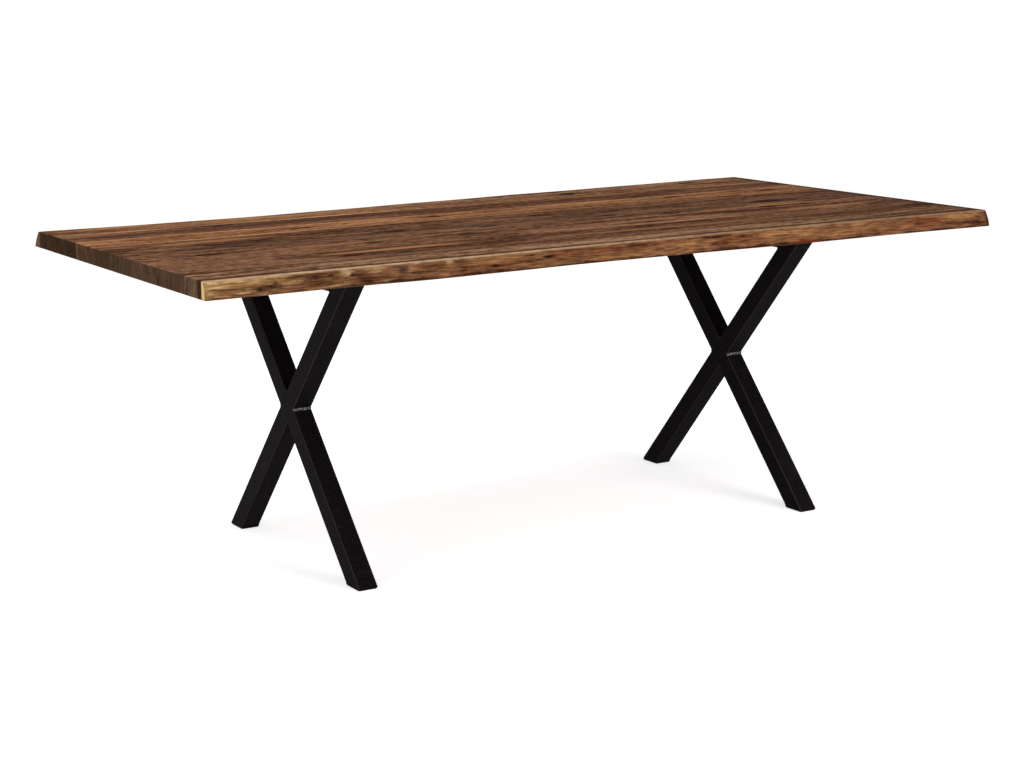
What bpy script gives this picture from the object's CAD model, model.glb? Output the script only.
"""Live edge dining table: its finishes and fine shapes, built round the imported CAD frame.

Metres, +X along the table, +Y to the rear live edge, +Z up, the origin on the floor under the
middle of the top. Colours are written as screen values from 0 to 255.
"""

from __future__ import annotations

import logging
import math
from dataclasses import dataclass
from enum import Enum
from functools import cache
from typing import Union

import bpy
import numpy as np
from mathutils import Matrix, Vector

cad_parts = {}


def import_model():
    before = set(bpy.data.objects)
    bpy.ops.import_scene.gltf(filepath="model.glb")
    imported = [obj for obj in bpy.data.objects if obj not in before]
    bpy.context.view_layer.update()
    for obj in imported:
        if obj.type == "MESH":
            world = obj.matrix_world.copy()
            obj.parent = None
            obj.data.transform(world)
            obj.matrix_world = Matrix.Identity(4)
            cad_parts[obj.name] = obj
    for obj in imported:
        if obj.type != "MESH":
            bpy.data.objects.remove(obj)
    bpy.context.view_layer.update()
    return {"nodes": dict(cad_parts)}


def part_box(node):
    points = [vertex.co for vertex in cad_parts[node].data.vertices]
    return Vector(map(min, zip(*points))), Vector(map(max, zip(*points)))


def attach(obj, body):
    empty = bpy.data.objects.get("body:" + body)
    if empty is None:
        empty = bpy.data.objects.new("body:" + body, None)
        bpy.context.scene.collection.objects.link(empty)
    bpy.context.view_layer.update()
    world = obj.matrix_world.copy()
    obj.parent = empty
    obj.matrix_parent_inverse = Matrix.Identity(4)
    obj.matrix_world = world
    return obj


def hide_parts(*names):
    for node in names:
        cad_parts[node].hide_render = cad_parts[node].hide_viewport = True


LOG = logging.getLogger("live_edge_table")

Colour = tuple[float, float, float, float]
Feed = Union["Field", float, int, tuple]
Feeds = dict[Union[int, str], Feed]


def paint(red: float, green: float, blue: float) -> Colour:
    """Turn a screen colour into the linear colour that a shader takes.

    Args:
        red: red from 0 to 255.
        green: green from 0 to 255.
        blue: blue from 0 to 255.

    Returns:
        Linear colour with full alpha, by the usual screen curve.
    """
    screen = np.array([red, green, blue]) / 255
    linear = np.where(screen <= 0.04045, screen / 12.92, ((screen + 0.055) / 1.055) ** 2.4)
    return (float(linear[0]), float(linear[1]), float(linear[2]), 1.0)


class Graph:
    """Adds, links and lays out the nodes of one shader tree."""

    COLUMN = 180
    ROW = 320
    PER_ROW = 20

    def __init__(self, tree: bpy.types.NodeTree) -> None:
        """Start on a tree, which keeps the nodes it has."""
        self.tree = tree
        self.count = 0

    def put(self, kind: str, feeds: Feeds | None = None, **settings: object) -> bpy.types.Node:
        """Add a node.

        Args:
            kind: the node's type name without its "ShaderNode" start.
            feeds: input name or index, with the socket or the constant that feeds it.
            settings: the node's own properties.

        Returns:
            The new node.
        """
        node = self.tree.nodes.new("ShaderNode" + kind)
        row, column = divmod(self.count, self.PER_ROW)
        node.location = (self.COLUMN * column, -self.ROW * row)
        self.count += 1
        for name, setting in settings.items():
            setattr(node, name, setting)
        for place, given in (feeds or {}).items():
            self.feed(node.inputs[place], given)
        return node

    def feed(self, socket: bpy.types.NodeSocket, given: Feed) -> None:
        """Link a socket to a field, or set it to a constant."""
        if isinstance(given, Field):
            self.tree.links.new(given.socket, socket)
        else:
            socket.default_value = given

    def named(self, node: bpy.types.Node) -> dict[str, Field]:
        """All outputs of a node by name."""
        return {output.name: Field(self, output) for output in node.outputs}

    def take(self, output: int | str, kind: str, feeds: Feeds | None = None, **settings: object) -> Field:
        """Add a node and return one output of it, by its name or index."""
        return Field(self, self.put(kind, feeds, **settings).outputs[output])

    def place(self) -> Field:
        """Object coordinates, which are metres in the frame, since every object is at the origin."""
        return self.take("Object", "TexCoord")

    def attribute(self, name: str) -> Field:
        """Value of a mesh attribute."""
        return self.take("Fac", "Attribute", attribute_type="GEOMETRY", attribute_name=name)

    def facing_ends(self) -> Field:
        """How far the surface looks along the table either way: the size of its normal's X."""
        return abs(self.split(self.take("Normal", "NewGeometry"))[0])

    def math(self, operation: str, first: Feed, second: Feed = 0.0) -> Field:
        """Add a Math node and return its result."""
        return self.take(0, "Math", {0: first, 1: second}, operation=operation)

    def larger(self, first: Feed, second: Feed) -> Field:
        """The larger of two values."""
        return self.math("MAXIMUM", first, second)

    def length(self, first: Field, second: Field) -> Field:
        """Square root of the sum of both squares."""
        return self.math("SQRT", first * first + second * second)

    def rise(self, given: Feed, start: Feed, end: Feed, low: Feed = 0.0, high: Feed = 1.0) -> Field:
        """Smooth step of a value: low at start, high at end, and level outside."""
        feeds = {0: given, 1: start, 2: end, 3: low, 4: high}
        return self.take(0, "MapRange", feeds, interpolation_type="SMOOTHSTEP")

    def mix(self, share: Feed, first: Feed, second: Feed, blend: str = "MIX") -> Field:
        """Mix two colours by a share, or lay the second over the first in another blend."""
        return self.take(2, "Mix", {0: share, 6: first, 7: second}, data_type="RGBA", blend_type=blend)

    def split(self, vector: Feed) -> tuple[Field, ...]:
        """X, Y and Z of a vector."""
        return tuple(self.named(self.put("SeparateXYZ", {0: vector})).values())

    def join(self, x: Feed, y: Feed, z: Feed) -> Field:
        """A vector of three values."""
        return self.take(0, "CombineXYZ", {0: x, 1: y, 2: z})

    def stretch(self, vector: Feed, scale: Feed, shift: Feed = (0.0, 0.0, 0.0)) -> Field:
        """A vector times a scale, axis by axis, plus a shift."""
        return self.take(0, "VectorMath", {0: vector, 1: scale, 2: shift}, operation="MULTIPLY_ADD")

    def noise(self, vector: Feed, stretch: tuple[float, float, float] | None = None, scale: Feed = 1.0,
              detail: float = 2.0, rough: float = 0.5) -> Field:
        """Soft noise from 0 to 1 over a vector, with some cells per metre along each axis."""
        if stretch:
            vector = self.stretch(vector, stretch)
        feeds = {"Vector": vector, "Scale": scale, "Detail": detail, "Roughness": rough}
        return self.take(0, "TexNoise", feeds, noise_dimensions="3D")

    def bump(self, height: Feed, strength: float, distance: float) -> Field:
        """Normal of a surface raised by a height."""
        return self.take(0, "Bump", {"Height": height, "Strength": strength, "Distance": distance})


@dataclass(frozen=True)
class Field:
    """A value, vector or colour that a graph's nodes work out, with plain arithmetic."""

    graph: Graph
    socket: bpy.types.NodeSocket

    def __add__(self, other: Feed) -> Field:
        """This plus another."""
        return self.graph.math("ADD", self, other)

    def __sub__(self, other: Feed) -> Field:
        """This less another."""
        return self.graph.math("SUBTRACT", self, other)

    def __rsub__(self, other: Feed) -> Field:
        """Another less this."""
        return self.graph.math("SUBTRACT", other, self)

    def __mul__(self, other: Feed) -> Field:
        """This times another."""
        return self.graph.math("MULTIPLY", self, other)

    def __truediv__(self, other: Feed) -> Field:
        """This over another."""
        return self.graph.math("DIVIDE", self, other)

    def __abs__(self) -> Field:
        """This without its sign."""
        return self.graph.math("ABSOLUTE", self)

    __radd__ = __add__
    __rmul__ = __mul__


def new_material(name: str) -> tuple[bpy.types.Material, Graph, bpy.types.NodeInputs]:
    """Start a material.

    Args:
        name: its name.

    Returns:
        The material, its graph and the inputs of its Principled shader.
    """
    made = bpy.data.materials.new(name)
    made.use_nodes = True
    return made, Graph(made.node_tree), made.node_tree.nodes["Principled BSDF"].inputs


class SocketKind(Enum):
    """Kinds of socket that a node group may have."""

    VALUE = "NodeSocketFloat"
    VECTOR = "NodeSocketVector"


class Effect:
    """A shader node group that several finishes share, built once and placed in each."""

    name = "effect"
    takes: dict[str, SocketKind] = {}
    gives: dict[str, SocketKind] = {}

    @classmethod
    def tree(cls) -> bpy.types.NodeTree:
        """Return the group's tree, built when it is first asked for."""
        if cls.name in bpy.data.node_groups:
            return bpy.data.node_groups[cls.name]
        tree = bpy.data.node_groups.new(cls.name, "ShaderNodeTree")
        for name, kind in cls.takes.items():
            tree.interface.new_socket(name=name, in_out="INPUT", socket_type=kind.value)
        for name, kind in cls.gives.items():
            tree.interface.new_socket(name=name, in_out="OUTPUT", socket_type=kind.value)
        graph = Graph(tree)
        results = cls.fill(graph, graph.named(tree.nodes.new("NodeGroupInput")))
        out = tree.nodes.new("NodeGroupOutput")
        for name, result in results.items():
            graph.feed(out.inputs[name], result)
        return tree

    @classmethod
    def fill(cls, graph: Graph, given: dict[str, Field]) -> dict[str, Field]:
        """Add the group's nodes and return its results by name."""
        raise NotImplementedError

    @classmethod
    def place(cls, graph: Graph, feeds: Feeds) -> dict[str, Field]:
        """Place the group in a graph.

        Args:
            graph: graph of the material that uses the effect.
            feeds: the group's inputs by name.

        Returns:
            The placed group's outputs by name.
        """
        return graph.named(graph.put("Group", feeds, node_tree=cls.tree()))


VALUE, VECTOR = SocketKind.VALUE, SocketKind.VECTOR


class TimberGrain(Effect):
    """Growth rings round a wandering heart line, with flames, curl, fibres, pores, flecks and rays.

    The ring radius is the distance from the heart line in the plank's cross section, plus slow
    and fine noise. Colour bands follow the radius, so they run along the plank on its faces and
    bend into arcs on its end grain. Broad is the bands and flames about one half, and Tone is
    the same with curl across the grain and fibres. Each noise has its cells per metre.
    """

    SLOW, FINE = (2.4, 24.0, 24.0), (9.0, 120.0, 120.0)
    CURL, FIBRE = (46.0, 105.0, 105.0), (9.0, 430.0, 430.0)
    SPOTS, PORES = (17.0, 78.0, 78.0), (70.0, 1500.0, 1500.0)

    name = "timber_grain"
    takes = {"Vector": VECTOR, "Seed": VALUE, "Heart Y": VALUE, "Heart Z": VALUE, "Ring Pitch": VALUE}
    gives = {"Tone": VALUE, "Broad": VALUE, "Rings": VALUE, "Fibre": VALUE, "Pores": VALUE,
             "Flecks": VALUE, "Rays": VALUE}

    @classmethod
    def fill(cls, graph: Graph, given: dict[str, Field]) -> dict[str, Field]:
        """Add the group's nodes and return its results by name."""
        vector, seed = given["Vector"], given["Seed"]
        x, y, z = graph.split(vector)
        placed = graph.stretch(vector, (1.0, 1.0, 1.0), graph.join(seed * 3.7, seed * 1.9, seed * 5.3))
        drift = graph.noise(graph.join(x * 1.15 + seed * 2.3, seed, 0.0)) - 0.5
        sway = graph.noise(graph.join(x * 0.9 + seed * 4.1, 9.0, seed)) - 0.5
        across = y - given["Heart Y"] + drift * 0.1
        up = z - given["Heart Z"] + sway * 0.12
        slow, fine = (graph.noise(placed, cells) - 0.5 for cells in (cls.SLOW, cls.FINE))
        radius = graph.length(across, up) + slow * 0.016 + fine * 0.0022
        phase = graph.math("FRACT", radius / given["Ring Pitch"])
        line = graph.rise(phase, 0.35, 0.93) * graph.rise(phase, 1.0, 0.95)
        bold = graph.noise(graph.join(x * 0.8, radius * 95.0, seed))
        figure = graph.noise(graph.join(x * 0.9, radius * 40.0, seed * 3.1), detail=3.5, rough=0.56)
        flames = graph.noise(graph.join(x * 3.0, radius * 80.0, seed), detail=3.0, rough=0.6)
        curl = graph.noise(placed, cls.CURL, detail=3.0, rough=0.6)
        fibre = graph.noise(placed, cls.FIBRE, detail=4.0, rough=0.62)
        broad = figure * 1.15 + flames - 0.575
        spots = graph.noise(placed, cls.SPOTS, detail=3.0, rough=0.55)
        pore = graph.noise(placed, cls.PORES, detail=1.0)
        ray = graph.noise(graph.join(graph.math("ARCTAN2", up, across) * 55.0, radius * 14.0, seed))
        return {"Tone": broad + curl * 1.25 + fibre - 1.125, "Broad": broad, "Fibre": fibre,
                "Rings": line * graph.rise(bold, 0.3, 0.72),
                "Pores": graph.rise(pore, 0.6, 0.68) * graph.rise(bold, 0.25, 0.65, 0.35, 1.0),
                "Flecks": graph.rise(spots, 0.665, 0.75), "Rays": graph.rise(ray, 0.56, 0.72)}


class KnotSwirl(Effect):
    """A knot: grain flows round it, its core is nearly black and its halo is dark.

    With d the distance in knot lengths and widths, the pattern's place is drawn to the knot's
    line by swirl times exp(-0.3 d squared). The halo is a bell too, long along the grain.
    """

    name = "knot_swirl"
    takes = {"Pattern": VECTOR, "Surface": VECTOR, "Centre X": VALUE, "Centre Y": VALUE, "Length": VALUE,
             "Width": VALUE, "Swirl": VALUE}
    gives = {"Pattern": VECTOR, "Halo": VALUE, "Core": VALUE}

    @classmethod
    def fill(cls, graph: Graph, given: dict[str, Field]) -> dict[str, Field]:
        """Add the group's nodes and return its results by name."""
        x, y = graph.split(given["Surface"])[:2]
        rag = graph.noise(given["Surface"], (60.0, 170.0, 60.0), detail=3.0) - 0.5
        aside = y - given["Centre Y"]
        along = (x - given["Centre X"]) / given["Length"]
        across = aside / given["Width"]
        square = along * along + across * across
        fade = graph.math("EXPONENT", square * -0.3)
        tail = along * along * 0.13 + across * across
        px, py, pz = graph.split(given["Pattern"])
        return {"Pattern": graph.join(px, py - aside * fade * given["Swirl"], pz),
                "Halo": graph.math("EXPONENT", tail * -1.3),
                "Core": graph.rise(graph.math("SQRT", square) + rag * 1.1, 1.4, 0.85)}


class SoftStreak(Effect):
    """A long soft patch of another colour, with ends that fray along the grain."""

    name = "soft_streak"
    takes = {"Vector": VECTOR, "Centre X": VALUE, "Centre Y": VALUE, "Length": VALUE, "Width": VALUE}
    gives = {"Mask": VALUE}

    @classmethod
    def fill(cls, graph: Graph, given: dict[str, Field]) -> dict[str, Field]:
        """Add the group's nodes and return its results by name."""
        x, y = graph.split(given["Vector"])[:2]
        fray = graph.noise(given["Vector"], (3.2, 75.0, 75.0), detail=3.0) - 0.5
        bend = graph.noise(given["Vector"], (2.1, 0.0, 0.0), detail=1.0) - 0.5
        along = (x - given["Centre X"]) / given["Length"]
        across = (y - given["Centre Y"] + bend * 0.03) / given["Width"]
        return {"Mask": graph.rise(graph.length(along, across) + fray * 1.5, 1.05, 0.25)}


class FacePatch(Effect):
    """A patch of another colour on a live face: an ellipse whose rim the given rag tears."""

    name = "face_patch"
    takes = {"Along": VALUE, "Up": VALUE, "Rag": VALUE, "Centre Along": VALUE, "Centre Up": VALUE,
             "Length": VALUE, "Height": VALUE}
    gives = {"Mask": VALUE}

    @classmethod
    def fill(cls, graph: Graph, given: dict[str, Field]) -> dict[str, Field]:
        """Add the group's nodes and return its results by name."""
        along = (given["Along"] - given["Centre Along"]) / given["Length"]
        across = (given["Up"] - given["Centre Up"]) / given["Height"]
        return {"Mask": graph.rise(graph.length(along, across) + given["Rag"], 1.35, 0.35)}


class DryingCheck(Effect):
    """A thin crack along the grain: a wandering line that narrows to both its ends."""

    name = "drying_check"
    takes = {"Vector": VECTOR, "Start X": VALUE, "End X": VALUE, "Line Y": VALUE, "Width": VALUE}
    gives = {"Mask": VALUE}

    @classmethod
    def fill(cls, graph: Graph, given: dict[str, Field]) -> dict[str, Field]:
        """Add the group's nodes and return its results by name."""
        x, y = graph.split(given["Vector"])[:2]
        start, line = given["Start X"], given["Line Y"]
        share = (x - start) / (given["End X"] - start)
        taper = share * (1.0 - share) * 4.0
        wander = graph.noise(graph.join(x * 16.0, line * 50.0, 0.0), detail=4.0, rough=0.6) - 0.5
        swell = graph.noise(graph.join(x * 70.0, 3.0, line))
        half = given["Width"] * graph.larger(taper, 0.0001) * (swell + 0.35)
        edge = abs(y - line - wander * 0.011) / half
        return {"Mask": graph.rise(edge, 1.15, 0.55) * graph.math("GREATER_THAN", taper, 0.0)}


class PowderTexture(Effect):
    """Fine orange peel of powder coat, with faint dust and handling marks."""

    name = "powder_texture"
    takes = {"Vector": VECTOR, "Grain": VALUE}
    gives = {"Height": VALUE, "Dust": VALUE, "Rub": VALUE, "Speck": VALUE}

    @classmethod
    def fill(cls, graph: Graph, given: dict[str, Field]) -> dict[str, Field]:
        """Add the group's nodes and return its results by name."""
        vector, grain = given["Vector"], given["Grain"]
        fine = graph.noise(vector, scale=grain, rough=0.6)
        peel = graph.noise(vector, scale=grain * 0.33, detail=1.0)
        broad = graph.noise(vector, scale=9.0, detail=4.0, rough=0.6)
        streak = graph.noise(vector, (140.0, 60.0, 24.0), detail=3.0)
        specks = graph.noise(vector, scale=grain * 0.15, detail=3.0, rough=0.7)
        return {"Height": fine * 0.65 + peel * 0.35, "Dust": graph.rise(broad, 0.45, 0.75),
                "Rub": graph.rise(streak, 0.62, 0.78), "Speck": graph.rise(specks, 0.46, 0.66)}


@dataclass(frozen=True)
class Knot:
    """A knot in a plank: its centre, its half length along the grain and its half width."""

    x: float
    y: float
    length: float = 0.024
    width: float = 0.012
    dark: float = 0.9
    swirl: float = 0.75


@dataclass(frozen=True)
class Check:
    """A drying crack along the grain, from one place along the table to another."""

    start: float
    end: float
    y: float
    width: float = 0.0011


@dataclass(frozen=True)
class Streak:
    """A long soft patch: its centre, half length and half width, and how much it colours."""

    x: float
    y: float
    length: float
    width: float
    amount: float = 0.7


@dataclass(frozen=True)
class Patch:
    """A patch on a live face: its place, its height up, half length, half height and amount."""

    shade: Colour
    x: float
    up: float
    length: float
    height: float
    amount: float = 0.6


@dataclass(frozen=True)
class Tones:
    """The colours of one plank's wood."""

    deep: Colour
    mid: Colour
    light: Colour

    @classmethod
    def around(cls, red: float, green: float, blue: float) -> Tones:
        """Tones about a middle screen colour: a redder deep one and a greyer light one."""
        deep = paint(red * 0.52, green * 0.41, blue * 0.33)
        return cls(deep, paint(red, green, blue), paint(red * 1.38, green * 1.48, blue * 1.60))


DEEP_STREAK = paint(62, 38, 30)
LIGHT_STREAK = paint(186, 132, 88)
KNOT_CORE = paint(30, 15, 9)
KNOT_HALO = paint(58, 35, 26)
SAPWOOD = paint(205, 165, 118)
CRACK = paint(14, 9, 7)
WHITE = (1.0, 1.0, 1.0, 1.0)
END_SHADE = paint(211, 216, 218)
END_GREY = paint(100, 84, 70)
END_RAY = paint(96, 76, 60)


@dataclass(frozen=True)
class Plank:
    """One board of the top: its node, its grain and the marks in it.

    Heart places are measured from the board's middle line and down from the table's upper face.
    """

    node: str
    seed: float
    tones: Tones
    heart_aside: float
    heart_down: float
    ring_pitch: float = 0.0042
    knots: tuple[Knot, ...] = ()
    checks: tuple[Check, ...] = ()
    dark_streaks: tuple[Streak, ...] = ()
    light_streaks: tuple[Streak, ...] = ()
    pale_front: float = 0.0
    pale_rear: float = 0.0
    dark_rear: float = 0.0
    joint_line: float = 0.35
    end_pale: float = 0.0
    end_tone: float = 1.0


class WoodFinish:
    """Satin oiled hardwood, dressed for one plank."""

    ROUGHNESS = 0.75
    GLOSS = 0.005
    GRAIN_DEPTH = 0.0005
    FLECK_SHARE = 0.55
    PORE_SHARE = 0.5
    HALO_SHARE = 0.85
    CHECK_SHARE = 0.95
    RAY_SHARE = 0.35
    GREY_SHARE = 0.35
    SOAK_SHARE = 0.8
    SOAK_START = 0.050
    SOAK_FULL = 0.008
    TOP_SKIN = 0.004

    def __init__(self, plank: Plank, low: Vector, high: Vector, live: LiveFaceTones | None = None) -> None:
        """Take the plank, its box in the frame and, for a live board, the face's colours."""
        self.plank = plank
        self.low = low
        self.high = high
        self.live = live

    def material(self) -> bpy.types.Material:
        """Build the plank's material.

        Returns:
            Material whose colour, roughness and relief follow the plank's grain and marks.
        """
        plank = self.plank
        made, graph, inputs = new_material(plank.node + "_wood")
        place = graph.place()
        pattern, knots = self.swirled(graph, place)
        middle = (self.low.y + self.high.y) / 2
        grain = TimberGrain.place(graph, {
            "Vector": pattern, "Seed": plank.seed, "Heart Y": middle + plank.heart_aside,
            "Heart Z": self.high.z - plank.heart_down, "Ring Pitch": plank.ring_pitch})
        flats = self.grain_colour(graph, grain["Tone"], grain["Rings"])
        flats = graph.mix(grain["Flecks"] * self.FLECK_SHARE, flats, KNOT_HALO)
        sawn = grain["Broad"] * 0.3 + grain["Fibre"] * 0.35 + self.upright_lines(graph, place) * 1.15 - 0.4
        ends = graph.mix(self.GREY_SHARE, self.grain_colour(graph, sawn, grain["Rings"]), END_GREY)
        end = graph.rise(graph.facing_ends(), 0.45, 0.8)
        colour = self.streaked(graph, place, graph.mix(end, flats, ends))
        start, full = self.high.x - self.SOAK_START, self.high.x - self.SOAK_FULL
        soaked = graph.rise(graph.split(place)[0], start, full, 0.0, self.SOAK_SHARE)
        colour = graph.mix(soaked * (1.0 - end), colour, plank.tones.deep)
        colour = self.joint_bands(graph, place, colour, end)
        cracks = self.cracks(graph, place)
        for halo, core, knot in knots:
            colour = graph.mix(halo * (self.HALO_SHARE * knot.dark), colour, KNOT_HALO)
            colour = graph.mix(core * knot.dark, colour, KNOT_CORE)
        colour = graph.mix(grain["Pores"] * self.PORE_SHARE, colour, DEEP_STREAK)
        shade = tuple(plank.end_tone * part for part in END_SHADE[:3]) + (1.0,)
        shaded = graph.mix(1.0, colour, shade, "MULTIPLY")
        colour = graph.mix(end, colour, graph.mix(grain["Rays"] * self.RAY_SHARE, shaded, END_RAY))
        dent: Feed = 0.0
        if self.live:
            colour, dent = self.live.dress(graph, place, colour, end)
        colour = graph.mix(self.joint_lines(graph, place), colour, CRACK)
        graph.feed(inputs["Base Color"], graph.mix(cracks * self.CHECK_SHARE, colour, CRACK))
        rough = (grain["Fibre"] - 0.5) * 0.25 + graph.larger(end, cracks) * 0.2
        graph.feed(inputs["Roughness"], rough + self.ROUGHNESS)
        inputs["Specular IOR Level"].default_value = self.GLOSS
        height = (grain["Fibre"] - grain["Pores"]) * 0.35 - grain["Rings"] * 0.15 - cracks * 1.6 + dent
        for halo, core, knot in knots:
            height = height - core * (0.9 * knot.dark)
        graph.feed(inputs["Normal"], graph.bump(height, 0.55, self.GRAIN_DEPTH))
        return made

    def swirled(self, graph: Graph, place: Field) -> tuple[Field, list[tuple[Field, Field, Knot]]]:
        """Bend the pattern round each knot.

        Args:
            graph: the material's graph.
            place: object coordinates.

        Returns:
            The bent pattern coordinates, and each knot's halo, core and sizes.
        """
        pattern = place
        marks = []
        for knot in self.plank.knots:
            outputs = KnotSwirl.place(graph, {
                "Pattern": pattern, "Surface": place, "Centre X": knot.x, "Centre Y": knot.y,
                "Length": knot.length, "Width": knot.width, "Swirl": knot.swirl})
            pattern = outputs["Pattern"]
            marks.append((outputs["Halo"], outputs["Core"], knot))
        return pattern, marks

    def grain_colour(self, graph: Graph, tone: Field, rings: Field) -> Field:
        """Colour of the plain wood: deep to light by tone, then darker rings."""
        tones = self.plank.tones
        colour = graph.mix(graph.rise(tone, 0.55, 0.21), tones.mid, tones.deep)
        colour = graph.mix(graph.rise(tone, 0.48, 0.88), colour, tones.light)
        return graph.mix(rings * 0.3, colour, tones.deep)

    def streaked(self, graph: Graph, place: Field, colour: Field) -> Field:
        """Lay the plank's dark and light streaks over its colour."""
        both = ((self.plank.dark_streaks, DEEP_STREAK), (self.plank.light_streaks, LIGHT_STREAK))
        for streaks, shade in both:
            for streak in streaks:
                mask = SoftStreak.place(graph, {
                    "Vector": place, "Centre X": streak.x, "Centre Y": streak.y,
                    "Length": streak.length, "Width": streak.width})["Mask"]
                colour = graph.mix(mask * streak.amount, colour, shade)
        return colour

    def joint_bands(self, graph: Graph, place: Field, colour: Field, end: Field) -> Field:
        """Leave sapwood or dark wood of a wavering width along the glue lines that have some.

        Args:
            graph: the material's graph.
            place: object coordinates.
            colour: the plank's colour so far.
            end: mask of the sawn ends, where only the plank's end_pale of the sapwood shows.

        Returns:
            The new colour.
        """
        x, y, z = graph.split(place)
        front, rear = y - self.low.y, self.high.y - y
        noise = graph.noise(graph.join(x * 2.2, self.plank.seed, z * 8.0), detail=4.0)
        sides = ((self.plank.pale_front, front, SAPWOOD, 0.25, 0.8),
                 (self.plank.pale_rear, rear, SAPWOOD, 0.25, 0.8),
                 (self.plank.dark_rear, rear, KNOT_HALO, 0.7, 0.92))
        for width, inward, shade, least, most in sides:
            if width > 0:
                waver = graph.rise(noise, 0.36, 0.66, least, 1.3)
                mask = graph.rise(inward / (waver * width), 1.1, 0.35)
                shown = graph.rise(end, 0.0, 1.0, most, 0.8 * self.plank.end_pale)
                colour = graph.mix(mask * shown, colour, shade)
        return colour

    def cracks(self, graph: Graph, place: Field) -> Field:
        """Mask of all the plank's drying checks, on its upper face only."""
        total: Feed = 0.0
        for check in self.plank.checks:
            mask = DryingCheck.place(graph, {
                "Vector": place, "Start X": check.start, "End X": check.end,
                "Line Y": check.y, "Width": check.width})["Mask"]
            total = graph.larger(total, mask)
        on_top = graph.math("GREATER_THAN", graph.split(place)[2], self.high.z - self.TOP_SKIN)
        return on_top * total

    def joint_lines(self, graph: Graph, place: Field) -> Field:
        """Thin dark glue lines on both long edges of the plank."""
        x, y = graph.split(place)[:2]
        front, rear = y - self.low.y, self.high.y - y
        nearest = graph.math("MINIMUM", front, rear)
        if self.live:
            nearest = front if self.live.side > 0 else rear
        along = graph.noise(graph.join(x * 9.0, 0.0, 0.0), detail=3.0)
        uneven = graph.rise(along, 0.3, 0.6, 0.4, 1.0)
        return graph.rise(nearest, 0.0009, 0.0002) * uneven * self.plank.joint_line

    def upright_lines(self, graph: Graph, place: Field) -> Field:
        """Noise in nearly upright lines over the sawn ends, where the year rings stand steep."""
        y, z = graph.split(place)[1:]
        leaning = y + z * (0.35 * math.sin(5 * self.plank.seed))
        lines = graph.join(self.plank.seed, leaning * 80.0, z * 9.0)
        return graph.noise(lines, detail=4.0, rough=0.62)


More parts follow.
